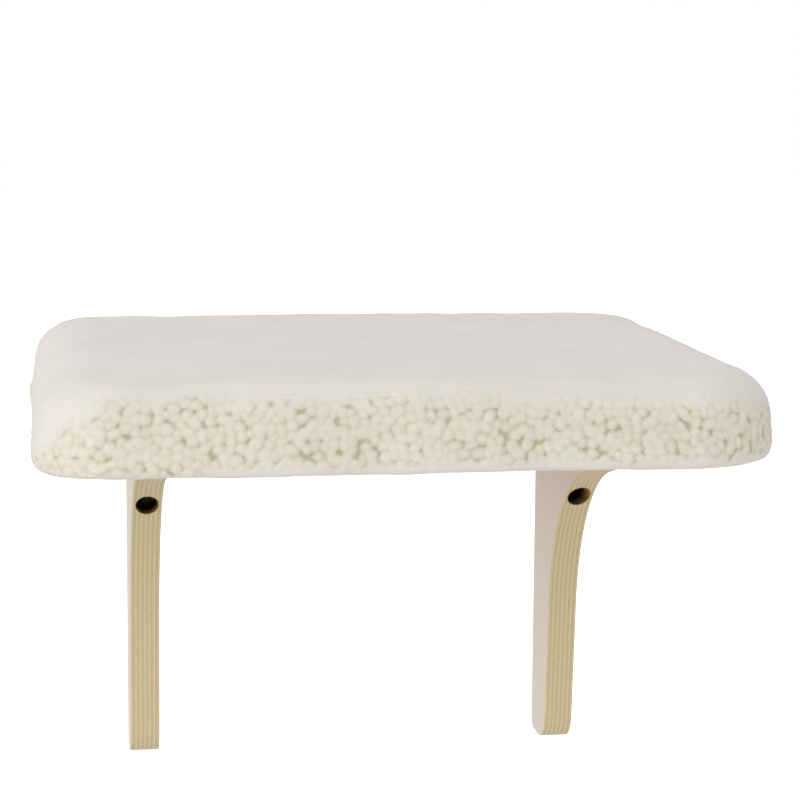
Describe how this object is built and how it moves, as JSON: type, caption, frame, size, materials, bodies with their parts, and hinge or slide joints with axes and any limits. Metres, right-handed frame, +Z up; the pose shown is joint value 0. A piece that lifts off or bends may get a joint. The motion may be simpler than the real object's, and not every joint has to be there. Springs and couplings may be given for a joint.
{
  "type": "cat perch",
  "caption": "Padded window perch: a fleece-covered board that rests on a window sill at the back and on curved plywood brackets screwed to the wall.",
  "frame": {"origin": "on the wall's plane, midway between the two wall screw holes", "axes": "+X to the right along the wall as seen from the room, +Y into the wall, +Z up"},
  "size_m": [0.4156, 0.3598, 0.2849],
  "materials": {
    "board": "plain pressed board, sanded",
    "foam": "open-cell polyurethane foam",
    "fleece": "off-white curly pile fleece",
    "tape": "woven binding tape",
    "elastic": "white braided elastic",
    "plywood": "bare birch plywood, sanded",
    "screws": "zinc-plated"
  },
  "bodies": {
    "root": {"seat_board": "board", "foam_pad": "foam", "fleece_cover": "fleece", "hem_casing": "tape", "hem_elastic": "elastic", "bracket_left": "plywood", "bracket_right": "plywood", "bracket_screws_left": "screws", "bracket_screws_right": "screws"}
  },
  "joints": []
}
